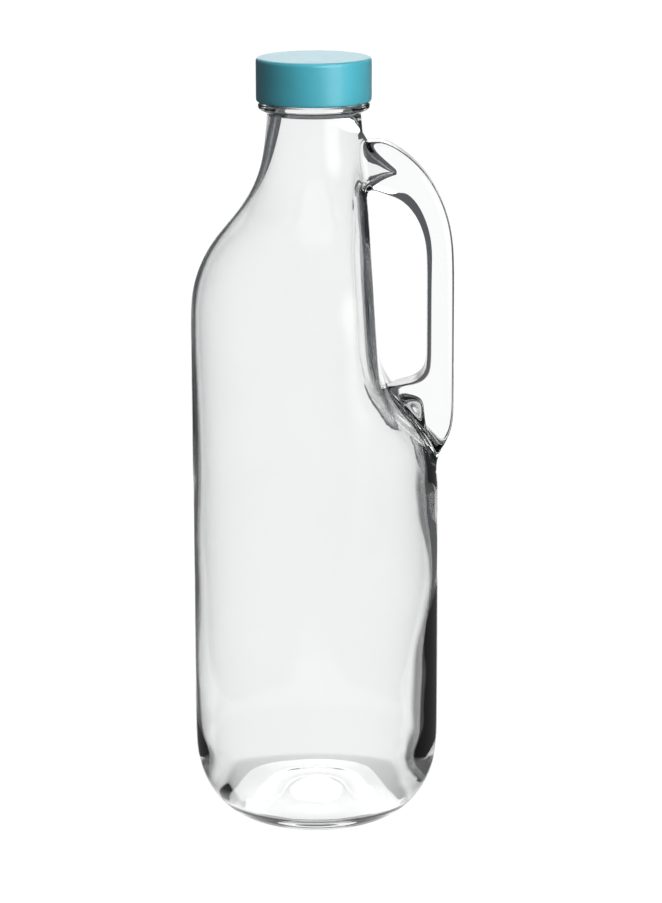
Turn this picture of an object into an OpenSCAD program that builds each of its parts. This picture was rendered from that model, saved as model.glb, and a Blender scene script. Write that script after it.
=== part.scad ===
// Large glass water jug with a side handle and a screw cap.
// Origin: middle of the base, on the table, on the axis of the bottle.
// +Z is up, +X points to the handle and -Y is the front.

/* [Glass body] */
// Outside diameter of the straight body
body_d = 98; // [92:1:104]
// Height of the glass, from the table to the rim of the mouth
glass_h = 304; // [296:1:320]
// Thickness of the side wall
wall_t = 3.3; // [2.8:0.1:4]
// Height of the rounded heel
heel_h = 32; // [26:1:36]
// Width of the rounded heel
heel_w = 24; // [20:1:26]
// Thickness of the glass in the middle of the base
base_t = 5.5; // [4:0.5:7]
// Depth of the hollow under the base
push_up_h = 3; // [1.5:0.5:4]

/* [Shoulder and neck] */
// Steepest slope of the shoulder, measured from upright
shoulder_slope = 40; // [38:1:42]
// Radius of the outward curve of the shoulder
shoulder_r = 48; // [44:1:52]
// Radius of the hollow curve between the shoulder and the neck
neck_curve_r = 46; // [40:1:50]
// Slope of the neck, measured from upright
neck_slope = 5; // [3:1:7]
// Diameter of the neck just under its ring
neck_d = 36.6; // [36:0.2:38]
// Diameter of the ring that the cap comes down to
ring_d = 43.6; // [42.8:0.2:44.4]

/* [Mouth and thread] */
// Diameter of the mouth
bore_d = 30; // [28:0.5:30.5]
// Outside diameter of the finish, without its thread
finish_d = 39; // [38.6:0.2:39.4]
// Height of the finish, from the ring to the rim
finish_h = 14.8; // [14.4:0.2:16]
// How far the glass thread stands out
thread_h = 1.2; // [1:0.1:1.3]
// Distance between neighbouring thread ridges
thread_pitch = 4; // [3.8:0.1:4.2]
// Number of thread starts
thread_starts = 3; // [2:1:3]

/* [Cap and liner] */
// Outside diameter of the cap
cap_d = 45; // [44.8:0.1:46]
// Height of the cap
cap_h = 16.9; // [16.5:0.1:17.1]
// Thickness of the cap's skirt
skirt_t = 1.4; // [1.2:0.1:1.5]
// Thickness of the cap's top
cap_top_t = 1.5; // [1.4:0.1:1.8]
// Thickness of the sealing disc
liner_t = 1.2; // [1:0.1:1.4]

/* [Handle] */
// Distance from the bottle's axis to the outer face of the handle
handle_reach = 54.8; // [54:0.2:57]
// Thickness of the handle bar, seen from the side
bar_t = 10.4; // [9:0.2:11]
// Width of the handle bar, across the hand
bar_w = 18; // [16:0.5:20]
// Height at which the handle bar starts to bend towards the neck
bend_z = 228; // [226:1:230]
// Height of the bottom of the finger opening
grip_z = 178.5; // [177:0.5:181]

/* [Hidden] */
$fn = 96;

body_r = body_d / 2;
bore_r = bore_d / 2;
finish_r = finish_d / 2;
ring_z = glass_h - finish_h;      // top face of the neck ring
ring_t = 2.2;                     // straight edge of the neck ring
ring_chamfer = 1.9;               // sloping underside of the neck ring
bore_l = 20;                      // straight part of the mouth, down from the rim
neck_top_z = ring_z - ring_t - ring_chamfer;
foot_r = body_r - heel_w;         // outer edge of the ring that stands on the table
foot_ring_w = 3.5;
rim_round = 0.9;

// Points along an arc, from angle a0 to a1.
function arc(cx, cz, r, a0, a1, n = 12) =
    [for (i = [0:n]) let (a = a0 + (a1 - a0) * i / n) [cx + r * cos(a), cz + r * sin(a)]];

// Points along a quarter or part of an ellipse.
function oval(cx, cz, rx, rz, a0, a1, n = 12) =
    [for (i = [0:n]) let (a = a0 + (a1 - a0) * i / n) [cx + rx * cos(a), cz + rz * sin(a)]];

// The shoulder is an outward arc, a straight slope and a hollow arc into the tapered neck.
// Its lengths follow from the neck's diameter and the heights above.
neck_low_z = 272;                 // where the hollow curve runs into the neck
neck_low_r = neck_d / 2 + (neck_top_z - neck_low_z) * tan(neck_slope);
out_dr = shoulder_r * (1 - cos(shoulder_slope));
in_dr = neck_curve_r * (cos(neck_slope) - cos(shoulder_slope));
in_dz = neck_curve_r * (sin(shoulder_slope) - sin(neck_slope));
slope_dr = body_r - neck_low_r - out_dr - in_dr;
slope_dz = slope_dr / tan(shoulder_slope);
shoulder_z = neck_low_z - in_dz - slope_dz - shoulder_r * sin(shoulder_slope);
hollow_x = neck_low_r + neck_curve_r * cos(neck_slope);
hollow_z = neck_low_z + neck_curve_r * sin(neck_slope);

// Half section of the wall from the straight body to the neck, moved inwards by d.
function shoulder_line(d) = concat(
    arc(body_r - shoulder_r, shoulder_z, shoulder_r - d, 0, shoulder_slope),
    arc(hollow_x, hollow_z, neck_curve_r + d, 180 + shoulder_slope, 180 + neck_slope));

outer_section = concat(
    [[0, push_up_h]],
    [for (i = [1:8]) let (t = i / 8) [t * (foot_r - foot_ring_w), push_up_h * cos(90 * t)]],
    oval(body_r - heel_w, heel_h, heel_w, heel_h, -90, 0),
    shoulder_line(0),
    [[neck_d / 2, neck_top_z], [ring_d / 2, ring_z - ring_t], [ring_d / 2, ring_z],
     [finish_r, ring_z]],
    arc(finish_r - rim_round, glass_h - rim_round, rim_round, 0, 90, 4),
    [[0, glass_h]]);

// The hollow is the same section moved in by the wall, with a thick, gently domed floor.
floor_rise = 2.5;
floor_edge_r = 34;
floor_edge_z = push_up_h + base_t - floor_rise;
inner_section = concat(
    [[0, push_up_h + base_t]],
    [for (i = [1:6]) let (t = i / 6) [t * floor_edge_r, floor_edge_z + floor_rise * cos(90 * t)]],
    oval(floor_edge_r, heel_h, body_r - wall_t - floor_edge_r, heel_h - floor_edge_z, -70, 0, 10),
    shoulder_line(wall_t),
    [[bore_r, glass_h - bore_l], [bore_r, glass_h + 1], [0, glass_h + 1]]);

// The side of the body is drawn in behind the handle: a nearly upright face that sweeps out to
// the full radius under the handle's foot.
pocket_slope = 3.4;
pocket_top_x = neck_low_r + 0.3;
pocket_top_z = neck_low_z;
pocket_in_r = 26;
pocket_out_r = 40;
pocket_ramp = 42;
pocket_bend_z = 187;
pocket_bend_x = pocket_top_x + (pocket_top_z - pocket_bend_z) * tan(pocket_slope);
pocket_in_x = pocket_bend_x + pocket_in_r * cos(pocket_slope);
pocket_in_z = pocket_bend_z + pocket_in_r * sin(pocket_slope);
pocket_low_x = pocket_in_x - pocket_in_r * cos(pocket_ramp);
pocket_low_z = pocket_in_z - pocket_in_r * sin(pocket_ramp);
ramp_dx = body_r - pocket_out_r * (1 - cos(pocket_ramp)) - pocket_low_x;
pocket_foot_z = pocket_low_z - ramp_dx / tan(pocket_ramp) - pocket_out_r * sin(pocket_ramp);

// Side view of the drawn-in face, moved inwards by d.
function pocket_line(d) = concat(
    [[pocket_top_x - d, pocket_top_z]],
    arc(pocket_in_x, pocket_in_z, pocket_in_r + d, 180 + pocket_slope, 180 + pocket_ramp, 8),
    arc(body_r - pocket_out_r, pocket_foot_z, pocket_out_r - d, pocket_ramp, 0, 8));

module side_plate(width) {
    rotate([90, 0, 0]) linear_extrude(width, center = true) children();
}

module grip_pocket(d) {
    side_plate(2 * body_d)
        polygon(concat(pocket_line(d), [[body_d, pocket_foot_z], [body_d, pocket_top_z]]));
}

// Handle bar: a flat-sided bar with round edges, upright beside the body, bent over to the neck
// above and in to the body below.
bar_x = handle_reach - bar_t / 2;
top_bend_r = 46.6;
top_bend_a = 76;
foot_bend_r = 22.6;
foot_bend_a = 52;
foot_z = 167;

module bar_section() {
    square([bar_t, bar_w - bar_t], center = true);
    for (s = [-1, 1]) translate([0, s * (bar_w - bar_t) / 2]) circle(d = bar_t);
}

module bar_bend(r, a0, a) {
    rotate([90, 0, 0]) rotate([0, 0, a0])
        rotate_extrude(angle = a) translate([r, 0]) bar_section();
}

module handle_bar() {
    translate([bar_x, 0, foot_z]) linear_extrude(bend_z - foot_z) bar_section();
    translate([bar_x - top_bend_r, 0, bend_z]) bar_bend(top_bend_r, 0, top_bend_a);
    translate([bar_x - foot_bend_r, 0, foot_z]) bar_bend(foot_bend_r, -foot_bend_a, foot_bend_a);
}

// Finger opening: straight sides, an oval top and small round corners below.
grip_right = handle_reach - bar_t;
grip_top_rx = 16.8;
grip_top_rz = 25.8;
grip_top_a = 115;
grip_corner_r = 5;
grip_back_x = 10;                 // inside the drawn-in side, which closes the opening there
grip_outline = concat(
    arc(grip_right - grip_corner_r, grip_z + grip_corner_r, grip_corner_r, -90, 0, 6),
    oval(grip_right - grip_top_rx, bend_z, grip_top_rx, grip_top_rz, 0, grip_top_a),
    [[grip_back_x, bend_z], [grip_back_x, grip_z]]);

// Webs that join the bar to the neck above the opening and to the body below it. Both reach
// a little way into the wall.
web_w = 13;
web_neck_x = 17;
web_foot_x = 28;
web_foot_z = 158;
web_corner_z = 200;
web_foot_inset = 4;
module handle_webs() {
    side_plate(web_w) difference() {
        polygon(concat([[web_neck_x, neck_low_z]],
            arc(bar_x - top_bend_r, bend_z, top_bend_r, top_bend_a, 0),
            [[bar_x, foot_z], [bar_x - web_foot_inset, web_foot_z],
             [web_foot_x, web_foot_z], [web_neck_x, web_corner_z]]));
        polygon(grip_outline);
    }
}

// The hollow of the bottle runs a little way into both roots of the handle: as a cone above and
// as a narrow, flat-topped hollow below.
upper_root_base = [15, 0, 265.5];
upper_root_tilt = 101;
upper_root_r = 6.5;
upper_root_tip_r = 0.6;
upper_root_l = 17.5;
lower_root_w = 5;
lower_root = [[26, 171.5], [40, 171], [43.2, 171], [43.2, 158], [40, 152], [30, 152]];
module root_hollows() {
    translate(upper_root_base) rotate([0, upper_root_tilt, 0])
        cylinder(r1 = upper_root_r, r2 = upper_root_tip_r, h = upper_root_l);
    side_plate(lower_root_w) polygon(lower_root);
}

// One thread ridge: a low trapezoid swept up a right-hand helix as one closed polyhedron.
// r0 is its root radius, which lies inside the wall, and r1 its crest radius.
thread_lead = thread_pitch * thread_starts;
ridge_step = 5;
ridge_start_a = 19;               // turns the ridges so that none starts in line with the handle
module ridge(r0, r1, root_w, crest_w, a0, a1, z0) {
    n = ceil((a1 - a0) / ridge_step);
    corners = [for (i = [0:n]) let (a = a0 + (a1 - a0) * i / n, z = z0 + thread_lead * a / 360)
        each [for (c = [[r0, -root_w], [r1, -crest_w], [r1, crest_w], [r0, root_w]])
            [c[0] * cos(a), c[0] * sin(a), z + c[1] / 2]]];
    turn = r1 > r0 ? 1 : -1;
    sides = [for (i = [0:n - 1], k = [0:3]) let (p = 4 * i + k, q = 4 * i + (k + 1) % 4)
        each [[p, q, p + 4], [q, q + 4, p + 4]]];
    ends = [[0, 3, 2], [0, 2, 1], [4 * n, 4 * n + 1, 4 * n + 2], [4 * n, 4 * n + 2, 4 * n + 3]];
    faces = [for (f = concat(sides, ends)) turn > 0 ? [f[0], f[1], f[2]] : [f[2], f[1], f[0]]];
    for (s = [0:thread_starts - 1]) rotate([0, 0, ridge_start_a + 360 * s / thread_starts])
        polyhedron(points = corners, faces = faces);
}

// Each cap ridge runs below a glass one, with 0.6 mm between their flanks.
glass_ridge_z = glass_h - 7.7;
glass_ridge_turn = 150;
cap_ridge_drop = 1.78;            // from the middle of a glass ridge to that of the cap ridge
cap_ridge_from = -47;
cap_ridge_to = 73;
cap_ridge_h = 1.2;
ridge_root_w = 2;
glass_crest_w = 1;
cap_crest_w = 0.8;
sink = 0.4;                       // how far each ridge's root lies inside its wall
cap_inner_r = cap_d / 2 - skirt_t;

module glass_jug() {
    color([0.88, 0.92, 0.91, 0.45]) {
        difference() {
            union() {
                difference() {
                    rotate_extrude() polygon(outer_section);
                    grip_pocket(0);
                }
                handle_bar();
                handle_webs();
            }
            difference() {
                rotate_extrude() polygon(inner_section);
                grip_pocket(wall_t);
            }
            root_hollows();
        }
        ridge(finish_r - sink, finish_r + thread_h, ridge_root_w, glass_crest_w,
            0, glass_ridge_turn, glass_ridge_z);
    }
}

cap_z = glass_h + liner_t + cap_top_t - cap_h;    // bottom edge of the cap
cap_ceiling_z = glass_h + liner_t;
cap_top_round = 0.9;
cap_foot_round = 0.5;
bead_h = 0.6;                     // ring inside the skirt that holds the sealing disc
bead_top = 0.2;                   // top, crest and lower edge of that ring, below the rim
bead_crest = 0.5;
bead_low = 1.1;
liner_gap = 0.4;                  // from the edge of the sealing disc to the skirt
module screw_cap() {
    color([0.42, 0.68, 0.75]) {
        rotate_extrude() polygon(concat(
            [[cap_inner_r, cap_z]],
            arc(cap_d / 2 - cap_foot_round, cap_z + cap_foot_round, cap_foot_round, -90, 0, 4),
            arc(cap_d / 2 - cap_top_round, cap_z + cap_h - cap_top_round, cap_top_round, 0, 90, 5),
            [[0, cap_z + cap_h], [0, cap_ceiling_z], [cap_inner_r, cap_ceiling_z],
             [cap_inner_r, glass_h - bead_top], [cap_inner_r - bead_h, glass_h - bead_crest],
             [cap_inner_r, glass_h - bead_low]]));
        ridge(cap_inner_r + sink, cap_inner_r - cap_ridge_h, ridge_root_w, cap_crest_w,
            cap_ridge_from, cap_ridge_to, glass_ridge_z - cap_ridge_drop);
    }
}

module seal_liner() {
    color([0.93, 0.94, 0.93])
        translate([0, 0, glass_h]) cylinder(r = cap_inner_r - liner_gap, h = liner_t);
}

glass_jug();
screw_cap();
seal_liner();
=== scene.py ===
"""Clear glass water jug with a moulded side handle and a turquoise screw cap."""

import math

import bmesh
import bpy
from bpy.props import FloatProperty, FloatVectorProperty, IntProperty, PointerProperty
from mathutils import Matrix, Vector


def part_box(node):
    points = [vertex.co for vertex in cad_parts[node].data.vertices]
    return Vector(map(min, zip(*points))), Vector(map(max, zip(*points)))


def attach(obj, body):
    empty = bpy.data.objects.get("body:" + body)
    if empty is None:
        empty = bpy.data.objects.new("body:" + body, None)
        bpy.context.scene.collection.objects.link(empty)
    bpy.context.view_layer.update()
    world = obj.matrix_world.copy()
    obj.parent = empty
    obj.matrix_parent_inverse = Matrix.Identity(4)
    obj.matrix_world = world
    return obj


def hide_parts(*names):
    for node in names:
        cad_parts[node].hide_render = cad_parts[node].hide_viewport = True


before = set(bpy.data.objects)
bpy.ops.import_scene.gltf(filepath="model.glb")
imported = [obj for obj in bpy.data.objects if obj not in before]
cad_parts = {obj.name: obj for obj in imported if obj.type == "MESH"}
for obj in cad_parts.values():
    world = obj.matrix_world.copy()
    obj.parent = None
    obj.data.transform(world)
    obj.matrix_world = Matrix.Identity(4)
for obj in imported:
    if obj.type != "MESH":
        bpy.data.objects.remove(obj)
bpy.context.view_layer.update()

bl_info = {
    "name": "Glass Water Jug",
    "version": (1, 0, 0),
    "blender": (4, 5, 0),
    "location": "View3D > Sidebar > Jug",
    "description": "Models a moulded glass jug, its screw cap, its sealing disc and a small studio",
    "category": "Add Mesh",
}

MM = 0.001
SAME_HEIGHT = 1e-6
JUG_LOW, JUG_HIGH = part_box("glass_jug")
CAP_LOW, CAP_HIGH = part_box("screw_cap")
LINER_LOW, LINER_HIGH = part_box("seal_liner")


# ---------------------------------------------------------------- settings


class JugSizes(bpy.types.PropertyGroup):
    """Sizes of the glass jug."""

    body_radius: FloatProperty(
        name="Body radius", description="Outside radius of the straight body",
        default=(JUG_HIGH.y - JUG_LOW.y) / 2, unit="LENGTH")
    rim_height: FloatProperty(
        name="Rim height", description="Height of the mouth's rim above the table",
        default=JUG_HIGH.z, unit="LENGTH")
    handle_reach: FloatProperty(
        name="Handle reach", description="Distance from the axis to the handle's outer face",
        default=JUG_HIGH.x - 0.26 * MM, unit="LENGTH")
    columns: IntProperty(
        name="Columns", description="Columns of faces round the body before subdivision",
        default=32, min=24, max=48)
    side_wall: FloatProperty(
        name="Side wall", description="Wall thickness away from the handle",
        default=1.6 * MM, unit="LENGTH")
    grip_wall: FloatProperty(
        name="Grip wall", description="Wall thickness of the drawn-in side",
        default=1.9 * MM, unit="LENGTH")
    bore_radius: FloatProperty(
        name="Mouth radius", description="Inside radius of the mouth",
        default=15.0 * MM, unit="LENGTH")
    finish_radius: FloatProperty(
        name="Finish radius", description="Outside radius of the mouth under the thread",
        default=19.5 * MM, unit="LENGTH")
    thread_height: FloatProperty(
        name="Thread height", description="How far the moulded thread stands out",
        default=1.15 * MM, unit="LENGTH")
    glass_tint: FloatVectorProperty(
        name="Glass tint", description="Colour of the clear glass",
        default=(0.99, 0.995, 0.995), subtype="COLOR", min=0, max=1)


class CapSizes(bpy.types.PropertyGroup):
    """Sizes of the screw cap and its sealing disc."""

    radius: FloatProperty(
        name="Cap radius", description="Outside radius of the cap",
        default=(CAP_HIGH.y - CAP_LOW.y) / 2, unit="LENGTH")
    skirt: FloatProperty(
        name="Skirt thickness", description="Thickness of the cap's skirt",
        default=1.4 * MM, unit="LENGTH")
    columns: IntProperty(
        name="Columns", description="Columns of faces round the cap before subdivision",
        default=48, min=32, max=64)
    plastic: FloatVectorProperty(
        name="Cap plastic", description="Colour of the turquoise plastic",
        default=(0.06, 0.38, 0.47), subtype="COLOR", min=0, max=1)
    liner: FloatVectorProperty(
        name="Liner", description="Colour of the sealing disc",
        default=(0.80, 0.82, 0.79), subtype="COLOR", min=0, max=1)


class StageSettings(bpy.types.PropertyGroup):
    """Camera and studio."""

    lens: FloatProperty(
        name="Lens", description="Focal length of the camera in millimetres", default=129.7)
    camera_distance: FloatProperty(
        name="Camera distance", description="Distance of the camera in front of the jug's axis",
        default=1257 * MM, unit="LENGTH")
    camera_height: FloatProperty(
        name="Camera height", description="Height of the camera above the table",
        default=462 * MM, unit="LENGTH")
    camera_side: FloatProperty(
        name="Camera side", description="How far the camera stands to the handle's side",
        default=6.2 * MM, unit="LENGTH")
    camera_pitch: FloatProperty(
        name="Camera pitch", description="How far the camera looks down",
        default=math.radians(13.96), subtype="ANGLE")
    camera_roll: FloatProperty(
        name="Camera roll", description="How far the camera leans to one side",
        default=math.radians(-0.187), subtype="ANGLE")
    sweep_width: FloatProperty(
        name="Sweep width", description="Width of the white paper sweep",
        default=0.70, unit="LENGTH")


# ---------------------------------------------------------------- modelling by hand, in code


def deselect_all():
    """Deselects everything, so that the next operator works on the new piece alone."""
    if bpy.context.object and bpy.context.object.mode != "OBJECT":
        bpy.ops.object.mode_set(mode="OBJECT")
    bpy.ops.object.select_all(action="DESELECT")


def only(piece):
    """Makes piece the one selected and active object."""
    deselect_all()
    piece.select_set(True)
    bpy.context.view_layer.objects.active = piece


def first_ring(name, columns, radius, height):
    """A new piece that is one open ring, left in edit mode and selected."""
    deselect_all()
    bpy.ops.mesh.primitive_circle_add(
        vertices=columns, radius=radius, location=(0, 0, height), fill_type="NOTHING")
    piece = bpy.context.object
    piece.name = piece.data.name = name
    bpy.ops.object.transform_apply(location=True, rotation=True, scale=True)
    bpy.ops.object.mode_set(mode="EDIT")
    bpy.ops.mesh.select_mode(type="VERT")
    bpy.ops.mesh.select_all(action="SELECT")
    return piece


def next_ring(before, after):
    """Extrudes the selected ring from (radius, height) before to after."""
    (r0, z0), (r1, z1) = before, after
    bpy.ops.mesh.extrude_region_move(TRANSFORM_OT_translate={"value": (0, 0, z1 - z0)})
    bpy.ops.transform.resize(value=(r1 / r0, r1 / r0, 1), center_override=(0, 0, z1))


def ring_growth(columns):
    """How much wider a ring is drawn, because subdivision draws a ring of faces inwards."""
    return 1 / (1 - (1 - math.cos(2 * math.pi / columns)) / 3)


def ring_shell(name, columns, section):
    """A shell of revolution through the section's points; a grid closes its first ring."""
    grow = ring_growth(columns)
    section = [(radius * grow, height) for radius, height in section]
    piece = first_ring(name, columns, *section[0])
    for before, after in zip(section, section[1:]):
        next_ring(before, after)
    select_vertices(piece, lambda co: abs(co.z - section[0][1]) < SAME_HEIGHT
                    and math.hypot(co.x, co.y) < section[0][0] * 1.001)
    bpy.ops.mesh.fill_grid(span=columns // 4)
    bpy.ops.object.mode_set(mode="OBJECT")
    return piece


def select_vertices(piece, wanted):
    """In edit mode, selects the vertices whose place passes the test."""
    bpy.ops.mesh.select_mode(type="VERT")
    bpy.ops.mesh.select_all(action="DESELECT")
    mesh = bmesh.from_edit_mesh(piece.data)
    for vertex in mesh.verts:
        vertex.select = wanted(vertex.co)
    mesh.select_flush(True)
    bmesh.update_edit_mesh(piece.data)


def select_faces(piece, wanted):
    """In edit mode, selects the faces whose centre passes the test."""
    bpy.ops.mesh.select_mode(type="FACE")
    bpy.ops.mesh.select_all(action="DESELECT")
    mesh = bmesh.from_edit_mesh(piece.data)
    for face in mesh.faces:
        face.select = wanted(face.calc_center_median())
    mesh.select_flush(True)
    bmesh.update_edit_mesh(piece.data)


def reshape(piece, move):
    """Moves every vertex of the piece to the place that move gives for it."""
    for vertex in piece.data.vertices:
        vertex.co = move(vertex.co.copy())
    piece.data.update()


def subdivide_smooth(piece, levels=2):
    """Finishes a piece with an applied subdivision surface and smooth shading."""
    only(piece)
    modifier = piece.modifiers.new("Smooth form", "SUBSURF")
    modifier.levels = modifier.render_levels = levels
    bpy.ops.object.modifier_apply(modifier=modifier.name)
    bpy.ops.object.shade_smooth()


def outward(piece):
    """Turns every face of a closed piece outwards."""
    only(piece)
    bpy.ops.object.mode_set(mode="EDIT")
    bpy.ops.mesh.select_all(action="SELECT")
    bpy.ops.mesh.normals_make_consistent(inside=False)
    bpy.ops.object.mode_set(mode="OBJECT")


# ---------------------------------------------------------------- the jug's form, in metres


def ease(t):
    """Smooth step from 0 to 1."""
    t = min(max(t, 0.0), 1.0)
    return t * t * (3 - 2 * t)


def soft_min(a, b, blend):
    """The smaller of a and b, with a rounded change-over of width blend."""
    h = max(blend - abs(a - b), 0.0) / blend
    return min(a, b) - h * h * blend / 4


def through(points, x):
    """A smooth curve through (x, value) points, eased between neighbours."""
    if x <= points[0][0]:
        return points[0][1]
    for (x0, v0), (x1, v1) in zip(points, points[1:]):
        if x <= x1:
            return v0 + (v1 - v0) * ease((x - x0) / (x1 - x0))
    return points[-1][1]


HEEL_HEIGHT = 32 * MM
HEEL_WIDTH = 24 * MM
SHOULDER_SLOPE = math.radians(40)
SHOULDER_RADIUS = 48 * MM
NECK_CURVE_RADIUS = 46 * MM
NECK_SLOPE = math.radians(5)
NECK_TOP_RADIUS = 18.3 * MM
NECK_TOP_BELOW_RIM = 18.9 * MM
NECK_LOW_BELOW_RIM = 32 * MM

POCKET_SLOPE = math.tan(math.radians(3.4))
POCKET_TOP_X = 19.65 * MM
POCKET_BEND_Z = 187 * MM
POCKET_IN_RADIUS = 26 * MM
POCKET_OUT_RADIUS = 40 * MM
POCKET_RAMP = math.radians(42)
POCKET_CORNER = 7 * MM
POCKET_LOW_CORNER = 0.8 * MM
POCKET_LOW_CORNER_Z = 138 * MM
POCKET_CORNER_CHANGE = 30 * MM
POCKET_FLARE_Z = 256 * MM
POCKET_FLARE = 40 * MM
POCKET_CLEAR_Z = 90 * MM


def body_radius_at(sizes, z, inset):
    """Radius of the body at height z between the heel and the neck, moved inwards by inset."""
    neck_low_z = sizes.rim_height - NECK_LOW_BELOW_RIM
    neck_top_z = sizes.rim_height - NECK_TOP_BELOW_RIM
    taper = math.tan(NECK_SLOPE)
    neck_low_r = NECK_TOP_RADIUS + (neck_top_z - neck_low_z) * taper
    hollow_x = neck_low_r + NECK_CURVE_RADIUS * math.cos(NECK_SLOPE)
    hollow_z = neck_low_z + NECK_CURVE_RADIUS * math.sin(NECK_SLOPE)
    out_dr = SHOULDER_RADIUS * (1 - math.cos(SHOULDER_SLOPE))
    in_dr = NECK_CURVE_RADIUS * (math.cos(NECK_SLOPE) - math.cos(SHOULDER_SLOPE))
    slope_dr = sizes.body_radius - neck_low_r - out_dr - in_dr
    slope_top_z = hollow_z - NECK_CURVE_RADIUS * math.sin(SHOULDER_SLOPE)
    slope_low_z = slope_top_z - slope_dr / math.tan(SHOULDER_SLOPE)
    shoulder_z = slope_low_z - SHOULDER_RADIUS * math.sin(SHOULDER_SLOPE)
    if z >= neck_low_z:
        return NECK_TOP_RADIUS + (neck_top_z - z) * taper - inset
    if z >= slope_top_z:
        reach = NECK_CURVE_RADIUS + inset
        return hollow_x - math.sqrt(reach * reach - (z - hollow_z) ** 2)
    if z >= slope_low_z:
        slope_top_r = hollow_x - NECK_CURVE_RADIUS * math.cos(SHOULDER_SLOPE)
        return (slope_top_r + (slope_top_z - z) * math.tan(SHOULDER_SLOPE)
                - inset / math.cos(SHOULDER_SLOPE))
    if z >= shoulder_z:
        reach = SHOULDER_RADIUS - inset
        drop = min(z - shoulder_z, reach)
        return sizes.body_radius - SHOULDER_RADIUS + math.sqrt(reach * reach - drop * drop)
    return sizes.body_radius - inset


def pocket_x_at(sizes, z, inset):
    """How far out the drawn-in side stands at height z, moved inwards by inset."""
    neck_low_z = sizes.rim_height - NECK_LOW_BELOW_RIM
    bend_x = POCKET_TOP_X + (neck_low_z - POCKET_BEND_Z) * POCKET_SLOPE
    in_x = bend_x + POCKET_IN_RADIUS
    in_z = POCKET_BEND_Z + POCKET_IN_RADIUS * POCKET_SLOPE
    low_x = in_x - POCKET_IN_RADIUS * math.cos(POCKET_RAMP)
    low_z = in_z - POCKET_IN_RADIUS * math.sin(POCKET_RAMP)
    out_x = sizes.body_radius - POCKET_OUT_RADIUS
    ramp_dx = out_x + POCKET_OUT_RADIUS * math.cos(POCKET_RAMP) - low_x
    ramp_end_z = low_z - ramp_dx / math.tan(POCKET_RAMP)
    foot_z = ramp_end_z - POCKET_OUT_RADIUS * math.sin(POCKET_RAMP)
    if z >= POCKET_BEND_Z:
        flare = max(z - POCKET_FLARE_Z, 0.0)
        flat = POCKET_TOP_X + (neck_low_z - z) * POCKET_SLOPE - inset
        return flat + flare * flare / POCKET_FLARE
    if z >= low_z:
        reach = POCKET_IN_RADIUS + inset
        return in_x - math.sqrt(reach * reach - min(z - in_z, 0.0) ** 2)
    if z >= ramp_end_z:
        return low_x + (low_z - z) * math.tan(POCKET_RAMP) - inset / math.cos(POCKET_RAMP)
    if z >= foot_z:
        reach = POCKET_OUT_RADIUS - inset
        rise = min(z - foot_z, reach * 0.999)
        return out_x + math.sqrt(reach * reach - rise * rise)
    return sizes.body_radius - inset + (foot_z - z) * 0.4


# Height and thickness, or what is added to it, in millimetres.
HANDLE_SIDE_WALL = [(20, 4.2), (40, 4.4), (60, 4.0), (74, 3.7), (88, 2.3), (97, 1.9), (108, 2.3),
                    (124, 3.3), (140, 3.6), (158, 2.8)]
FAR_SIDE_WAVE = [(30, 0.4), (60, 0.0), (85, 0.3), (110, 0.0), (150, 0.2), (190, -0.1), (230, 0.2)]
NECK_WALL = [(200, 0.0), (238, -0.4), (250, -0.2), (260, 0.1), (270, 0.5), (279, 1.0), (285, 1.2)]

WALL_RIPPLE = 0.12 * MM
WALL_RIPPLE_RISE = 31 * MM
HEAVY_WALL_Z = 140 * MM
HEAVY_WALL_CHANGE = 30 * MM
ROOT_LOW_Z = 255 * MM
ROOT_THINNING = 1.0 * MM
ROOT_CHANGE = 12 * MM
FUNNEL_LOW_Z = 253 * MM
FUNNEL_LOW_CHANGE = 8 * MM
FUNNEL_HIGH_Z = 284 * MM
FUNNEL_HIGH_CHANGE = 11 * MM
FUNNEL_DEPTH = 2.4 * MM
FUNNEL_HALF_ANGLE = 0.36


def wall_at(sizes, z, angle):
    """Thickness of the moulded wall: heavy under the handle, thin and gently wavy elsewhere."""
    facing = max(math.cos(angle), 0.0)
    heavy, wave, neck = (through([(h * MM, t * MM) for h, t in table], z)
                         for table in (HANDLE_SIDE_WALL, FAR_SIDE_WAVE, NECK_WALL))
    ripple = WALL_RIPPLE * math.sin(3 * angle + z / WALL_RIPPLE_RISE)
    side = sizes.side_wall + ripple + wave * max(-math.cos(angle), 0.0)
    side += neck
    if z > ROOT_LOW_Z:
        side -= ROOT_THINNING * facing ** 2 * ease((z - ROOT_LOW_Z) / ROOT_CHANGE)
        funnel = ease((FUNNEL_HIGH_Z - z) / FUNNEL_HIGH_CHANGE)
        funnel *= ease((z - FUNNEL_LOW_Z) / FUNNEL_LOW_CHANGE)
        side -= FUNNEL_DEPTH * funnel * math.exp(-(angle / FUNNEL_HALF_ANGLE) ** 2)
    under_handle = 1 - ease((z - HEAVY_WALL_Z) / HEAVY_WALL_CHANGE)
    return side + (heavy - side) * facing ** 2 * under_handle


def draw_in(sizes, co, radius, inset):
    """The place of a vertex at radius, once the side behind the handle is drawn in."""
    angle = math.atan2(co.y, co.x)
    grow = ring_growth(sizes.columns)
    if co.z < POCKET_CLEAR_Z or math.cos(angle) < 0.05:
        reach = radius
    else:
        flat = pocket_x_at(sizes, co.z, inset) / math.cos(angle)
        change = ease((co.z - POCKET_LOW_CORNER_Z) / POCKET_CORNER_CHANGE)
        corner = POCKET_LOW_CORNER + (POCKET_CORNER - POCKET_LOW_CORNER) * change
        reach = soft_min(radius, flat, corner)
    return Vector((reach * grow * math.cos(angle), reach * grow * math.sin(angle), co.z))


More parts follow.
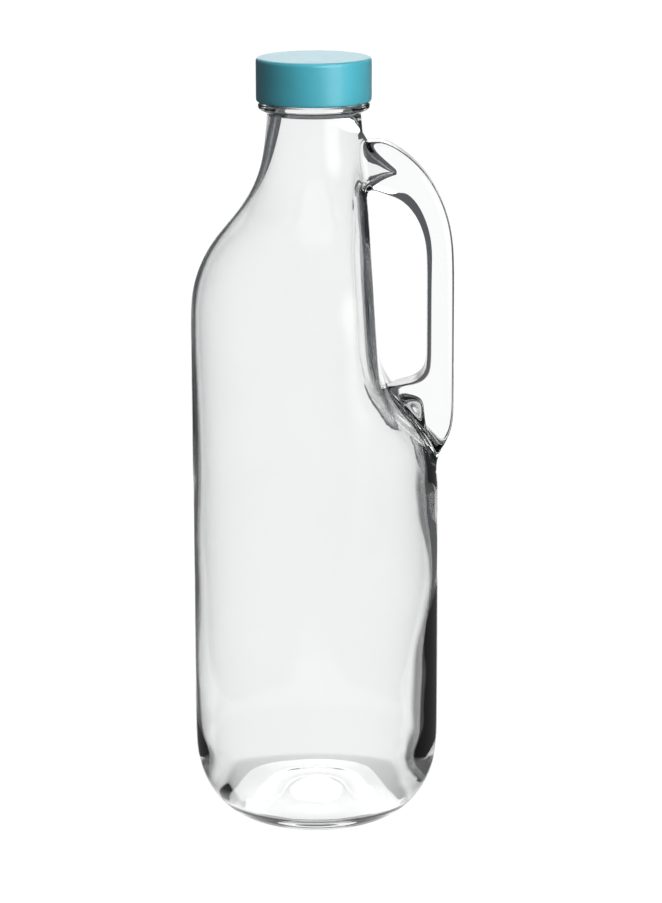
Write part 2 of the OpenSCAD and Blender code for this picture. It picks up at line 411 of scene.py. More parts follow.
# Heights of the rings between heel and neck, in millimetres.
OUTER_HEIGHTS = [36, 52, 72, 92, 108, 120, 130, 139, 147, 154.5, 162, 169, 176, 184, 194, 206,
                 214, 221, 228, 234.5, 241, 249, 257, 265, 273, 279]
INNER_HEIGHTS = [36, 46, 58, 70, 82, 94, 106, 116, 124, 132, 140, 148, 156, 164, 172, 180, 190,
                 200, 210, 218, 226, 234, 242, 250, 257, 265, 273, 279]


FLOOR_TOP_Z = 9 * MM
FLOOR_CHANGE = 20 * MM
HEEL_TOP_Z = 36 * MM
BORE_FOOT_BELOW_RIM = 23 * MM


def outer_section(sizes):
    """Rings of the outside, from under the base to the rim."""
    body = sizes.body_radius
    rim = sizes.rim_height
    finish = sizes.finish_radius
    # Radius and height in millimetres: the hollow under the base and the ring it stands on.
    foot = [(9, 2.9), (16, 2.1), (20.3, 0.55), (21.8, 0.06), (23.4, 0.0), (25.6, 0.07)]
    rings = [(r * MM, z * MM) for r, z in foot]
    rings += [(body - HEEL_WIDTH + HEEL_WIDTH * math.cos(math.radians(a)),
               HEEL_HEIGHT + HEEL_HEIGHT * math.sin(math.radians(a)))
              for a in (-76, -64, -52, -41, -30, -19, -9)]
    rings += [(body_radius_at(sizes, z * MM, 0), z * MM) for z in OUTER_HEIGHTS]
    # Radius and depth below the rim in millimetres: the neck ring.
    below_rim = [(18.3, 19.6), (18.3, 18.95), (18.65, 18.6), (21.3, 17.2), (21.75, 16.7),
                 (21.78, 15.9), (21.72, 15.1), (21.4, 14.82), (20.2, 14.78), (19.6, 14.5)]
    rings += [(r * MM, rim - z * MM) for r, z in below_rim]
    rings += [(finish, rim - z * MM) for z in (13.0, 11.4, 9.8, 8.2, 6.6, 5.0, 3.4, 2.0, 1.0)]
    rings += [(finish - 0.15 * MM, rim - 0.35 * MM), (finish - 0.6 * MM, rim),
              ((finish + sizes.bore_radius) / 2, rim)]
    return rings


def inner_section(sizes):
    """Rings of the hollow, from the middle of the floor to the rim."""
    rim = sizes.rim_height
    bore = sizes.bore_radius
    # Radius and height in millimetres: the floor and the inside of the heel.
    floor = [(9, 8.8), (18, 8.5), (27, 8.1), (34.5, 7.9), (38.8, 8.0), (40.2, 8.5), (41.0, 9.6),
             (41.9, 11.8), (43.1, 15.0), (44.5, 19.2), (45.7, 24.2), (46.6, 30)]
    rings = [(r * MM, z * MM) for r, z in floor]
    rings += [(body_radius_at(sizes, z * MM, sizes.side_wall), z * MM) for z in INNER_HEIGHTS]
    rings += [(bore + 0.1 * MM, rim - 20 * MM)]
    rings += [(bore, rim - z * MM) for z in (17, 12, 6, 2, 0.9)]
    rings += [(bore + 0.15 * MM, rim - 0.3 * MM), (bore + 0.6 * MM, rim),
              ((sizes.finish_radius + bore) / 2, rim)]
    return rings


# ---------------------------------------------------------------- the handle

BAR_THICKNESS = 10.4 * MM
TOP_BEND_Z = 228 * MM
TOP_BEND_RADIUS = 51.7 * MM
TOP_BEND_BULGE = 0.025
GRIP_TOP_WIDTH = 16.8 * MM
GRIP_TOP_HEIGHT = 25.8 * MM
GRIP_BEND = 1.36
HALF_WIDTH = 9.2 * MM
NECK_HALF_WIDTH = 8.0 * MM
NECK_PATCH = (257 * MM, 273 * MM)
RAMP_PATCH = (147 * MM, 176 * MM)
RAMP_GAP = (140 * MM, 200 * MM)


def handle_stations(sizes):
    """Sections of the handle from the neck down to its foot: outer edge, inner edge, half width."""
    reach = sizes.handle_reach
    centre = reach - TOP_BEND_RADIUS
    grip_x = reach - BAR_THICKNESS
    stations = []
    for a in (64, 53, 42, 31, 20, 9):
        outer, inner = math.radians(a), math.radians(a * GRIP_BEND)
        radius = TOP_BEND_RADIUS * (1 + TOP_BEND_BULGE * math.sin(2 * outer) ** 2)
        stations.append((
            (centre + radius * math.cos(outer), TOP_BEND_Z + radius * math.sin(outer)),
            (grip_x - GRIP_TOP_WIDTH * (1 - math.cos(inner)),
             TOP_BEND_Z + GRIP_TOP_HEIGHT * math.sin(inner)),
            NECK_HALF_WIDTH + (HALF_WIDTH - NECK_HALF_WIDTH) * ease((60 - a) / 40)))
    for z in (226, 213, 200, 189.5):
        stations.append(((reach, z * MM), (grip_x, z * MM), HALF_WIDTH))
    # Outer edge, inner edge and half width in millimetres, from the straight bar inwards.
    foot = [((0.0, 177), (0.3, 182.5), 9.2), ((0.0, 168), (5.0, 178.9), 9.0),
            ((-0.5, 160.5), (10.0, 177.9), 8.6), ((-3.0, 154.5), (14.5, 176.8), 8.0)]
    for (outer_dx, outer_z), (inner_dx, inner_z), half in foot:
        stations.append(((reach + outer_dx * MM, outer_z * MM),
                         (grip_x - inner_dx * MM, inner_z * MM), half * MM))
    return stations


# Across and outwards, as shares of the half width and the half thickness.
BAR_SECTION = [
    [(-0.95, -0.97), (-0.74, -1.03), (0, -1.0), (0.74, -1.03), (0.95, -0.97)],
    [(-1.05, 0.0), (-0.5, 0), (0, 0), (0.5, 0), (1.05, 0.0)],
    [(-0.95, 0.93), (-0.78, 1.03), (0, 1.03), (0.78, 1.03), (0.95, 0.93)],
]


def section_point(station, i, j, columns, rows):
    """The place of grid point i, j of a patch on a rounded section of the handle."""
    (xo, zo), (xi, zi), half = station
    if (columns, rows) == (4, 2):
        u, v = BAR_SECTION[j][i]
    else:
        u, v = 2 * i / columns - 1, 2 * j / rows - 1
        if max(abs(u), abs(v)) > 0.999:
            scale = 1.06 / (abs(u) ** 2.7 + abs(v) ** 2.7) ** (1 / 2.7)
            u, v = u * scale, v * scale
    along = 0.5 + 0.5 * v
    return Vector((xi + (xo - xi) * along, half * u, zi + (zo - zi) * along))


def grid_keys(mesh, columns, rows):
    """Gives each selected vertex its column and row in a patch, by its order across and up."""
    chosen = [v for v in mesh.verts if v.select]
    chosen.sort(key=lambda v: v.co.z)
    keys = {}
    for j in range(rows + 1):
        row = sorted(chosen[j * (columns + 1):(j + 1) * (columns + 1)],
                     key=lambda v: v.co.y)
        for i, vertex in enumerate(row):
            keys[tuple(round(c, 7) for c in vertex.co)] = (i, j)
    return keys


def extrude_through(piece, patch, columns, rows, stations):
    """Extrudes the patch of faces through each station, shaping every new section."""
    select_faces(piece, patch)
    mesh = bmesh.from_edit_mesh(piece.data)
    keys = grid_keys(mesh, columns, rows)
    for station in stations:
        bpy.ops.mesh.extrude_region_move(TRANSFORM_OT_translate={"value": (0, 0, 0)})
        mesh = bmesh.from_edit_mesh(piece.data)
        placed = {}
        for vertex in mesh.verts:
            if vertex.select:
                i, j = keys[tuple(round(c, 7) for c in vertex.co)]
                vertex.co = section_point(station, i, j, columns, rows)
                placed[tuple(round(c, 7) for c in vertex.co)] = (i, j)
        bmesh.update_edit_mesh(piece.data)
        keys = placed


def facing_handle(half_angle, low, high):
    """A test for face centres on the handle's side, between two heights."""
    def test(co):
        return (low < co.z < high and co.x > 0
                and abs(math.atan2(co.y, co.x)) < half_angle)
    return test


def build_handle(outer, sizes):
    """Draws the handle out of the neck, leads it down and joins it to the body's ramp."""
    column = 2 * math.pi / sizes.columns
    only(outer)
    bpy.ops.object.mode_set(mode="EDIT")
    stations = handle_stations(sizes)
    extrude_through(outer, facing_handle(2 * column, *NECK_PATCH), 4, 2, stations)
    bpy.ops.mesh.delete(type="FACE")
    on_ramp = facing_handle(column, *RAMP_PATCH)
    select_faces(outer, lambda co: on_ramp(co) and co.x < pocket_x_at(sizes, co.z, 0) + MM)
    bpy.ops.mesh.delete(type="FACE")
    bpy.ops.mesh.select_mode(type="EDGE")
    mesh = bmesh.from_edit_mesh(outer.data)
    for edge in mesh.edges:
        middle = (edge.verts[0].co + edge.verts[1].co) / 2
        edge.select = edge.is_boundary and RAMP_GAP[0] < middle.z < RAMP_GAP[1]
    bmesh.update_edit_mesh(outer.data)
    bpy.ops.mesh.bridge_edge_loops()
    bpy.ops.object.mode_set(mode="OBJECT")


def build_root_hollows(inner, sizes):
    """Draws the hollow of the bottle a little way into both roots of the handle."""
    column = 2 * math.pi / sizes.columns
    only(inner)
    bpy.ops.object.mode_set(mode="EDIT")
    # Outer edge, inner edge and half width of each section, in millimetres.
    upper = [((22.4, 271.0), (22.4, 257.0), 5.4), ((25.8, 268.0), (25.6, 258.8), 5.2),
             ((29.4, 265.0), (29.2, 260.4), 4.9), ((32.2, 262.8), (32.0, 261.2), 4.5)]
    lower = [((44.7, 151.5), (30.0, 174.4), 4.8), ((44.4, 155.0), (36.5, 174.0), 4.6),
             ((44.1, 158.5), (42.8, 172.6), 4.4)]
    # Low and high edge, half width in columns, columns and rows of each patch of faces.
    for low, high, half, columns, rows, stations in (
            (257, 279, 2, 4, 3, upper), (148, 172, 1, 2, 3, lower)):
        extrude_through(
            inner, facing_handle(half * column, low * MM, high * MM), columns, rows,
            [tuple((x * MM, z * MM) for x, z in s[:2]) + (s[2] * MM,) for s in stations])
    bpy.ops.object.mode_set(mode="OBJECT")


# ---------------------------------------------------------------- the thread

THREAD_STARTS = 3
THREAD_LEAD = 12 * MM
THREAD_TURN = math.radians(19)
GLASS_RIDGE_SPAN = math.radians(150)
CAP_RIDGE_SPAN = (math.radians(-47), math.radians(73))
RIDGE_HALF_ROOT = 1.0 * MM
RIDGE_HALF_CREST = 0.45 * MM
CAP_RIDGE_DROP = 1.78 * MM
RIDGE_RUN_OUT = math.radians(14)
RIDGE_BELOW_RIM = 7.7 * MM
THREAD_BELOW_RIM = 14.2 * MM
WALL_TOLERANCE = 0.4 * MM


def ridge_share(co, base_z, span):
    """How much of the thread's full height stands at this place, from 0 to 1."""
    share = 0.0
    for start in range(THREAD_STARTS):
        angle = math.atan2(co.y, co.x) - THREAD_TURN - 2 * math.pi * start / THREAD_STARTS
        angle = (angle - span[0]) % (2 * math.pi) + span[0]
        if angle > span[1]:
            continue
        away = abs(co.z - base_z - THREAD_LEAD * angle / (2 * math.pi))
        side = ease((RIDGE_HALF_ROOT - away) / (RIDGE_HALF_ROOT - RIDGE_HALF_CREST))
        ends = ease(min(angle - span[0], span[1] - angle) / RIDGE_RUN_OUT)
        share = max(share, side * ends)
    return share


def raise_thread(co, radius, height, base_z, span):
    """Moves a point on the wall at radius out (or in, with a negative height) onto the thread."""
    r = math.hypot(co.x, co.y)
    if abs(r - radius) > WALL_TOLERANCE:
        return co
    grown = r + height * ridge_share(co, base_z, span)
    return Vector((co.x * grown / r, co.y * grown / r, co.z))


# ---------------------------------------------------------------- materials


def new_material(name):
    """A node material with its Principled shader and an object-space texture coordinate."""
    material = bpy.data.materials.new(name)
    material.use_nodes = True
    nodes = material.node_tree.nodes
    shader = nodes["Principled BSDF"]
    place = nodes.new("ShaderNodeTexCoord")
    return material, nodes, material.node_tree.links, shader, place


def noise(nodes, links, place, scale, detail=3.0):
    """A noise texture in object space."""
    texture = nodes.new("ShaderNodeTexNoise")
    texture.inputs["Scale"].default_value = scale
    texture.inputs["Detail"].default_value = detail
    links.new(place.outputs["Object"], texture.inputs["Vector"])
    return texture


def ramp(nodes, links, source, stops):
    """A colour ramp fed by the source, with (position, colour) stops."""
    node = nodes.new("ShaderNodeValToRGB")
    links.new(source, node.inputs["Fac"])
    for i, (position, colour) in enumerate(stops):
        element = node.color_ramp.elements[i] if i < 2 else node.color_ramp.elements.new(position)
        element.position = position
        element.color = (*colour, 1)
    return node


def spread(nodes, links, source, low, high):
    """Maps the source from 0..1 to low..high."""
    node = nodes.new("ShaderNodeMapRange")
    node.inputs["To Min"].default_value = low
    node.inputs["To Max"].default_value = high
    links.new(source, node.inputs["Value"])
    return node


def bump(nodes, links, source, shader, strength, distance):
    """Bumps the shader by the source."""
    node = nodes.new("ShaderNodeBump")
    node.inputs["Strength"].default_value = strength
    node.inputs["Distance"].default_value = distance
    links.new(source, node.inputs["Height"])
    links.new(node.outputs["Normal"], shader.inputs["Normal"])


def clear_glass(tint):
    """Moulded soda-lime glass: a faint cool tint, fine ripples and the lightest of smudges."""
    material, nodes, links, shader, place = new_material("clear_glass")
    patches = noise(nodes, links, place, scale=22)
    shade = tuple(c * 0.985 for c in tint)
    colour = ramp(nodes, links, patches.outputs["Fac"], [(0.35, shade), (0.65, tint)])
    links.new(colour.outputs["Color"], shader.inputs["Base Color"])
    smudges = noise(nodes, links, place, scale=60, detail=6)
    rough = spread(nodes, links, smudges.outputs["Fac"], low=0.0, high=0.012)
    links.new(rough.outputs["Result"], shader.inputs["Roughness"])
    ripples = noise(nodes, links, place, scale=38, detail=2)
    bump(nodes, links, ripples.outputs["Fac"], shader, strength=0.08, distance=0.6 * MM)
    shader.inputs["Transmission Weight"].default_value = 1.0
    shader.inputs["IOR"].default_value = 1.52
    return material


def cap_plastic(colour):
    """Satin moulded polypropylene with a fine spark-eroded grain and slight mottling."""
    material, nodes, links, shader, place = new_material("cap_plastic")
    mottle = noise(nodes, links, place, scale=90)
    shade = tuple(c * 0.93 for c in colour)
    tone = ramp(nodes, links, mottle.outputs["Fac"], [(0.35, shade), (0.65, tuple(colour))])
    links.new(tone.outputs["Color"], shader.inputs["Base Color"])
    wear = noise(nodes, links, place, scale=300, detail=5)
    rough = spread(nodes, links, wear.outputs["Fac"], low=0.29, high=0.37)
    links.new(rough.outputs["Result"], shader.inputs["Roughness"])
    grain = noise(nodes, links, place, scale=2600, detail=2)
    bump(nodes, links, grain.outputs["Fac"], shader, strength=0.12, distance=0.1 * MM)
    shader.inputs["IOR"].default_value = 1.49
    shader.inputs["Sheen Weight"].default_value = 0.15
    shader.inputs["Specular IOR Level"].default_value = 0.75
    shader.inputs["Sheen Roughness"].default_value = 0.5
    return material


def liner_rubber(colour):
    """Matt off-white elastomer with a fine cellular grain."""
    material, nodes, links, shader, place = new_material("liner_rubber")
    cells = noise(nodes, links, place, scale=700, detail=4)
    shade = tuple(c * 0.88 for c in colour)
    tone = ramp(nodes, links, cells.outputs["Fac"], [(0.4, shade), (0.6, tuple(colour))])
    links.new(tone.outputs["Color"], shader.inputs["Base Color"])
    rough = spread(nodes, links, cells.outputs["Fac"], low=0.6, high=0.8)
    links.new(rough.outputs["Result"], shader.inputs["Roughness"])
    bump(nodes, links, cells.outputs["Fac"], shader, strength=0.25, distance=0.2 * MM)
    return material


def math_node(nodes, links, operation, first, second):
    """A Math node; first and second are numbers or sockets."""
    node = nodes.new("ShaderNodeMath")
    node.operation = operation
    for socket, value in zip(node.inputs, (first, second)):
        if isinstance(value, (int, float)):
            socket.default_value = value
        else:
            links.new(value, socket)
    return node.outputs["Value"]


def fade(nodes, links, source, start, end, low, high):
    """Maps the source smoothly from start..end to low..high."""
    node = nodes.new("ShaderNodeMapRange")
    node.interpolation_type = "SMOOTHSTEP"
    node.inputs["From Min"].default_value = start
    node.inputs["From Max"].default_value = end
    node.inputs["To Min"].default_value = low
    node.inputs["To Max"].default_value = high
    links.new(source, node.inputs["Value"])
    return node.outputs["Result"]


PAPER_WHITE = 1.05
STRIP_HALF_WIDTH = 0.049
STRIP_WIDENING = 0.27
STRIP_EDGE = (0.93, 1.13)
STRIP_GLOW = 0.93
STRIP_START = (-0.15, -0.06)
UNDER_JUG = (0.01, 0.06)
UNDER_JUG_SHARE = 0.72
HIGH_PAPER = (0.30, 0.50)
SIDE_GLOW = 0.12
HIGH_GLOW = 1.6


def white_paper():
    """Glowing white paper. Seen through the glass it is a white strip between dim sides."""
    material, nodes, links, shader, place = new_material("white_paper")
    split = nodes.new("ShaderNodeSeparateXYZ")
    links.new(place.outputs["Object"], split.inputs["Vector"])
    back = math_node(nodes, links, "MAXIMUM", split.outputs["Y"], 0.0)
    widening = math_node(nodes, links, "MULTIPLY", back, STRIP_WIDENING)
    width = math_node(nodes, links, "ADD", widening, STRIP_HALF_WIDTH)
    side = math_node(nodes, links, "ABSOLUTE", split.outputs["X"], 0.0)
    share = math_node(nodes, links, "DIVIDE", side, width)
    strip = fade(nodes, links, share, *STRIP_EDGE, STRIP_GLOW, 0.0)
    front = fade(nodes, links, split.outputs["Y"], *STRIP_START, 0.0, 1.0)
    strip = math_node(nodes, links, "MULTIPLY", strip, front)
    under = fade(nodes, links, split.outputs["Y"], *UNDER_JUG, UNDER_JUG_SHARE, 1.0)
    strip = math_node(nodes, links, "MULTIPLY", strip, under)
    above = fade(nodes, links, split.outputs["Z"], *HIGH_PAPER, SIDE_GLOW, HIGH_GLOW)
    level = math_node(nodes, links, "ADD", strip, above)
    path = nodes.new("ShaderNodeLightPath")
    seen = math_node(nodes, links, "MULTIPLY", path.outputs["Is Camera Ray"], PAPER_WHITE)
    glow = math_node(nodes, links, "MAXIMUM", level, seen)
    links.new(glow, shader.inputs["Emission Strength"])
    shader.inputs["Emission Color"].default_value = (1, 1, 1, 1)
    shader.inputs["Base Color"].default_value = (0, 0, 0, 1)
    shader.inputs["Specular IOR Level"].default_value = 0
    return material


def soft_card(name, size, strength):
    """A glowing card that is brightest in the middle and fades out towards its edges."""
    material, nodes, links, shader, place = new_material(name)
    distance = nodes.new("ShaderNodeVectorMath")
    distance.operation = "LENGTH"
    links.new(place.outputs["Object"], distance.inputs[0])
    level = fade(nodes, links, distance.outputs["Value"], size * 0.12, size * 0.5, strength, 0.0)
    links.new(level, shader.inputs["Emission Strength"])
    shader.inputs["Emission Color"].default_value = (1, 1, 1, 1)
    shader.inputs["Base Color"].default_value = (0, 0, 0, 1)
    shader.inputs["Specular IOR Level"].default_value = 0
    return material


def finish_piece(piece, material, body, node):
    """Gives a finished piece its material and its CAD body, and hides the node that it replaces."""
    piece.data.materials.clear()
    piece.data.materials.append(material)
    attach(piece, body)
    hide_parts(node)


# ---------------------------------------------------------------- operators


class JUG_OT_glass(bpy.types.Operator):
    """Models the jug: shell, drawn-in side, handle, root hollows, rim and thread."""

    bl_idname = "jug.glass"
    bl_label = "Glass Jug"

    def execute(self, context):
        sizes = context.scene.jug_sizes
        outer = ring_shell("jug_glass", sizes.columns, outer_section(sizes))
        grow = ring_growth(sizes.columns)
        reshape(outer, lambda co: draw_in(sizes, co, math.hypot(co.x, co.y) / grow, 0))
        inner = ring_shell("jug_hollow", sizes.columns, inner_section(sizes))

        def thicken(co):
            radius = math.hypot(co.x, co.y) / grow
            if co.z < FLOOR_TOP_Z or co.z > sizes.rim_height - BORE_FOOT_BELOW_RIM:
                return co
            wall = wall_at(sizes, co.z, math.atan2(co.y, co.x))
            share = ease((co.z - FLOOR_TOP_Z) / FLOOR_CHANGE)
            grown = radius + (sizes.side_wall - wall) * share
            if co.z > HEEL_TOP_Z:
                grown = body_radius_at(sizes, co.z, wall)
            return draw_in(sizes, co, grown, sizes.grip_wall)

        reshape(inner, thicken)
        build_handle(outer, sizes)
        build_root_hollows(inner, sizes)
        only(outer)
        inner.select_set(True)
        bpy.ops.object.join()
        bpy.ops.object.mode_set(mode="EDIT")
        select_vertices(outer, lambda co: co.z > sizes.rim_height - 0.01 * MM)
        bpy.ops.mesh.remove_doubles(threshold=0.01 * MM)
        bpy.ops.object.mode_set(mode="OBJECT")
        outward(outer)
        subdivide_smooth(outer)
        base_z = sizes.rim_height - RIDGE_BELOW_RIM
        reshape(outer, lambda co: raise_thread(
            co, sizes.finish_radius, sizes.thread_height, base_z, (0, GLASS_RIDGE_SPAN))
            if co.z > sizes.rim_height - THREAD_BELOW_RIM else co)
        finish_piece(outer, clear_glass(tuple(sizes.glass_tint)), "jug",
                     "glass_jug")
        return {"FINISHED"}


class JUG_OT_cap(bpy.types.Operator):
    """Models the screw cap: rounded skirt and top, retaining ring and inside thread."""

    bl_idname = "jug.cap"
    bl_label = "Screw Cap"

    def execute(self, context):
        cap = context.scene.cap_sizes
        sizes = context.scene.jug_sizes
        top, foot, rim = CAP_HIGH.z, CAP_LOW.z, sizes.rim_height
        radius, hollow = cap.radius, cap.radius - cap.skirt
        ceiling = LINER_HIGH.z
        # The top from its middle, the rounded edge, the skirt and its lip.
        outside = [(6 * MM, top), (13 * MM, top), (18.5 * MM, top), (radius - 2.0 * MM, top),
                   (radius - 1.1 * MM, top), (radius - 0.35 * MM, top - 0.25 * MM),
                   (radius, top - 1.0 * MM), (radius, top - 2.0 * MM)]
        outside += [(radius, top - z * MM) for z in (5, 8, 11, 13.5)]
        outside += [(radius, foot + 1.0 * MM), (radius - 0.1 * MM, foot + 0.3 * MM),
                    (radius - 0.45 * MM, foot), (hollow + 0.35 * MM, foot),
                    (hollow, foot + 0.25 * MM)]
        # The inside wall, the small ring that holds the disc, and the ceiling.
        inside_z = [foot + z * MM for z in (0.8, 1.6, 2.4, 3.2, 4.0, 4.8, 5.6, 6.4, 7.2, 8.4, 10.0)]
        inside = [(hollow, z) for z in inside_z]
        inside += [(hollow, rim - 1.3 * MM), (hollow - 0.15 * MM, rim - 1.0 * MM),
                   (hollow - 0.6 * MM, rim - 0.55 * MM), (hollow - 0.15 * MM, rim - 0.25 * MM),
                   (hollow, rim - 0.05 * MM), (hollow, ceiling - 0.35 * MM),
                   (hollow - 0.05 * MM, ceiling - 0.05 * MM), (hollow - 0.4 * MM, ceiling),
                   (14 * MM, ceiling), (6 * MM, ceiling)]
        piece = ring_shell("cap_turquoise", cap.columns, outside + inside)
        only(piece)
        bpy.ops.object.mode_set(mode="EDIT")
        select_vertices(piece, lambda co: abs(co.z - ceiling) < SAME_HEIGHT
                        and math.hypot(co.x, co.y) < 6.1 * MM)
        bpy.ops.mesh.fill_grid(span=cap.columns // 4)
        bpy.ops.object.mode_set(mode="OBJECT")
        outward(piece)
        subdivide_smooth(piece)
        base_z = rim - RIDGE_BELOW_RIM - CAP_RIDGE_DROP
        reshape(piece, lambda co: raise_thread(
            co, hollow, -sizes.thread_height, base_z, CAP_RIDGE_SPAN)
            if co.z < rim - 1.4 * MM and co.z > foot + 0.5 * MM else co)
        finish_piece(piece, cap_plastic(tuple(cap.plastic)), "cap", "screw_cap")
        return {"FINISHED"}


class JUG_OT_liner(bpy.types.Operator):
    """Models the sealing disc: a soft edge and the faint groove that the rim presses into it."""

    bl_idname = "jug.liner"
    bl_label = "Sealing Disc"

    def execute(self, context):
        radius = (LINER_HIGH.y - LINER_LOW.y) / 2
        low, high = LINER_LOW.z, LINER_HIGH.z
        # The upper face, the rounded edge, and the lower face with the rim's groove.
        section = [(4 * MM, high), (12 * MM, high), (radius - 0.6 * MM, high),
                   (radius - 0.12 * MM, high - 0.03 * MM), (radius, high - 0.2 * MM),
                   (radius, low + 0.2 * MM), (radius - 0.12 * MM, low + 0.03 * MM),
                   (radius - 0.6 * MM, low), (19.4 * MM, low), (19.0 * MM, low + 0.08 * MM),
                   (15.6 * MM, low + 0.08 * MM), (15.2 * MM, low), (10 * MM, low), (4 * MM, low)]
        piece = ring_shell("sealing_disc", 32, section)
        only(piece)
        bpy.ops.object.mode_set(mode="EDIT")
        select_vertices(piece, lambda co: abs(co.z - low) < SAME_HEIGHT
                        and math.hypot(co.x, co.y) < 4.1 * MM)
        bpy.ops.mesh.fill_grid(span=8)
        bpy.ops.object.mode_set(mode="OBJECT")
        outward(piece)
        subdivide_smooth(piece)
        finish_piece(piece, liner_rubber(tuple(context.scene.cap_sizes.liner)), "liner",
                     "seal_liner")
        return {"FINISHED"}


SWEEP_FRONT = -0.45
SWEEP_DEPTH = 1.2
SWEEP_BEND = 0.3
SWEEP_BEND_STEPS = 12
SWEEP_RISE = 0.5
SWEEP_DROP = 0.2 * MM
# Name, place, size and strength of each card.
CARDS = [
    ("key_card", (0.54, -0.83, 0.72), 1.15, 18.0),
    ("overhead_card", (0.0, 0.05, 1.2), 1.1, 2.2),
    ("low_card", (0.68, -0.72, 0.32), 1.0, 2.6),
]
CARDS_FACE = (0, 0, 0.22)
ROOM_COLOUR = (0.9, 0.95, 1.0, 1)
ROOM_LIGHT = 0.11


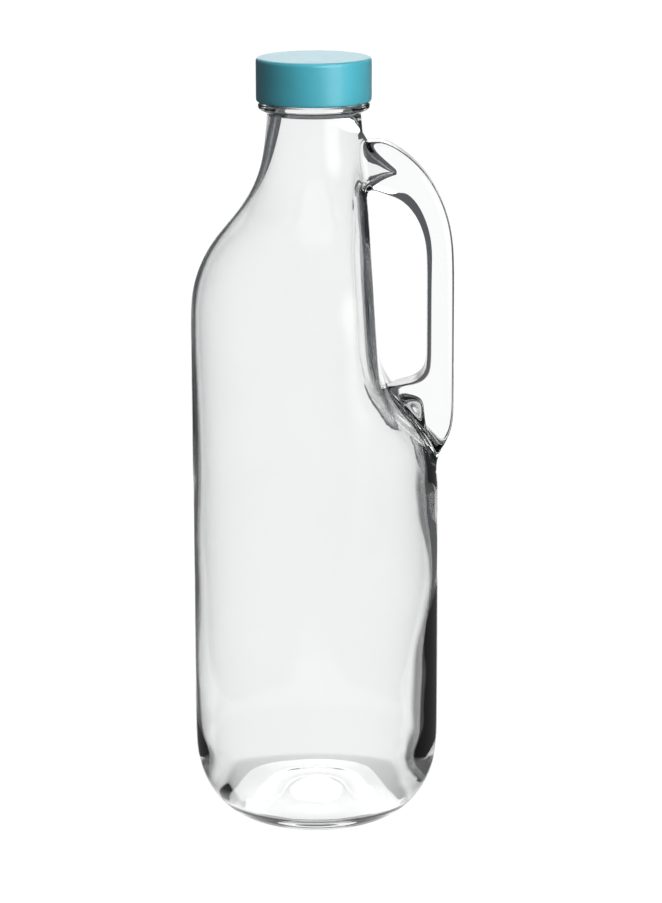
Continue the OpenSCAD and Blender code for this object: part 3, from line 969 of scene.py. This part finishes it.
class JUG_OT_stage(bpy.types.Operator):
    """Sets the camera, the white paper sweep, the soft lights and the dim room."""

    bl_idname = "jug.stage"
    bl_label = "Studio"

    def execute(self, context):
        stage = context.scene.stage_settings
        camera = self.add_camera(context, stage)
        arm = self.add_turning_arm(camera)
        self.add_sweep(stage, arm)
        self.add_cards(arm)
        self.add_room(context)
        return {"FINISHED"}

    def add_camera(self, context, stage):
        """The camera, in front of the jug and a little above it."""
        data = bpy.data.cameras.new("camera")
        data.lens = stage.lens
        data.sensor_width = 36
        data.clip_start, data.clip_end = 0.05, 20
        camera = bpy.data.objects.new("camera", data)
        context.scene.collection.objects.link(camera)
        camera.location = (stage.camera_side, -stage.camera_distance, stage.camera_height)
        tilt = Matrix.Rotation(math.pi / 2 - stage.camera_pitch, 3, "X")
        camera.rotation_euler = (tilt @ Matrix.Rotation(stage.camera_roll, 3, "Z")).to_euler()
        context.scene.camera = camera
        return camera

    def add_turning_arm(self, camera):
        """An empty that turns with the camera and carries the sweep and the cards."""
        arm = bpy.data.objects.new("turning_arm", None)
        bpy.context.scene.collection.objects.link(arm)
        follow = arm.constraints.new("LOCKED_TRACK")
        follow.target = camera
        follow.track_axis = "TRACK_NEGATIVE_Y"
        follow.lock_axis = "LOCK_Z"
        return arm

    def add_sweep(self, stage, arm):
        """A white sweep: a floor that curves up into a backdrop behind the jug."""
        deselect_all()
        bpy.ops.mesh.primitive_plane_add(size=1, location=(0, 0, 0))
        sweep = bpy.context.object
        sweep.name = sweep.data.name = "sweep"
        bpy.ops.object.mode_set(mode="EDIT")
        bpy.ops.mesh.select_all(action="SELECT")
        bpy.ops.transform.resize(value=(stage.sweep_width, SWEEP_DEPTH - SWEEP_FRONT, 1))
        bpy.ops.transform.translate(value=(0, (SWEEP_DEPTH + SWEEP_FRONT) / 2, -SWEEP_DROP))
        select_vertices(sweep, lambda co: co.y > SWEEP_DEPTH - 0.01)
        reached = (0.0, 0.0)
        for i in range(1, SWEEP_BEND_STEPS + 1):
            a = math.radians(90 * i / SWEEP_BEND_STEPS)
            step = (SWEEP_BEND * math.sin(a), SWEEP_BEND * (1 - math.cos(a)))
            bpy.ops.mesh.extrude_region_move(
                TRANSFORM_OT_translate={"value": (0, step[0] - reached[0], step[1] - reached[1])})
            reached = step
        bpy.ops.mesh.extrude_region_move(TRANSFORM_OT_translate={"value": (0, 0, SWEEP_RISE)})
        bpy.ops.object.mode_set(mode="OBJECT")
        bpy.ops.object.shade_smooth()
        sweep.data.materials.append(white_paper())
        sweep.parent = arm

    def add_cards(self, arm):
        """Soft cards: a key and an overhead one for light, and a low one for the cap's gloss."""
        for name, place, size, strength in CARDS:
            deselect_all()
            bpy.ops.mesh.primitive_plane_add(size=size, location=(0, 0, 0))
            card = bpy.context.object
            card.name = card.data.name = name
            card.location = place
            aim = Vector(CARDS_FACE) - Vector(place)
            card.rotation_euler = aim.to_track_quat("Z", "Y").to_euler()
            card.data.materials.append(soft_card(name + "_glow", size, strength))
            card.parent = arm
            card.visible_camera = False
            card.visible_transmission = False
            card.visible_glossy = name == "low_card"
            card.visible_diffuse = name != "low_card"

    def add_room(self, context):
        """The dim room round the stage, and how the glass is rendered."""
        world = bpy.data.worlds.new("dim_room")
        world.use_nodes = True
        background = world.node_tree.nodes["Background"]
        background.inputs["Color"].default_value = ROOM_COLOUR
        background.inputs["Strength"].default_value = ROOM_LIGHT
        context.scene.world = world
        context.scene.view_settings.view_transform = "Standard"
        context.scene.cycles.transmission_bounces = 24
        context.scene.cycles.max_bounces = 32


class JUG_PT_panel(bpy.types.Panel):
    """Lists the jug's operators and settings in the 3D view's sidebar."""

    bl_idname = "JUG_PT_panel"
    bl_label = "Glass Water Jug"
    bl_space_type = "VIEW_3D"
    bl_region_type = "UI"
    bl_category = "Jug"

    def draw(self, context):
        layout = self.layout
        for operator in (JUG_OT_glass, JUG_OT_cap, JUG_OT_liner, JUG_OT_stage):
            layout.operator(operator.bl_idname)
        for group, names in (
            (context.scene.jug_sizes, JugSizes.__annotations__),
            (context.scene.cap_sizes, CapSizes.__annotations__),
            (context.scene.stage_settings, StageSettings.__annotations__),
        ):
            box = layout.box()
            for name in names:
                box.prop(group, name)


CLASSES = (JugSizes, CapSizes, StageSettings, JUG_OT_glass, JUG_OT_cap, JUG_OT_liner,
           JUG_OT_stage, JUG_PT_panel)


def register():
    """Registers the classes and their settings."""
    for cls in CLASSES:
        bpy.utils.register_class(cls)
    bpy.types.Scene.jug_sizes = PointerProperty(type=JugSizes)
    bpy.types.Scene.cap_sizes = PointerProperty(type=CapSizes)
    bpy.types.Scene.stage_settings = PointerProperty(type=StageSettings)


def unregister():
    """Removes the settings and the classes."""
    del bpy.types.Scene.stage_settings
    del bpy.types.Scene.cap_sizes
    del bpy.types.Scene.jug_sizes
    for cls in reversed(CLASSES):
        bpy.utils.unregister_class(cls)


def main():
    """Builds the stage and the three pieces."""
    register()
    bpy.ops.jug.stage()
    bpy.ops.jug.glass()
    bpy.ops.jug.cap()
    bpy.ops.jug.liner()


if __name__ == "__main__":
    main()
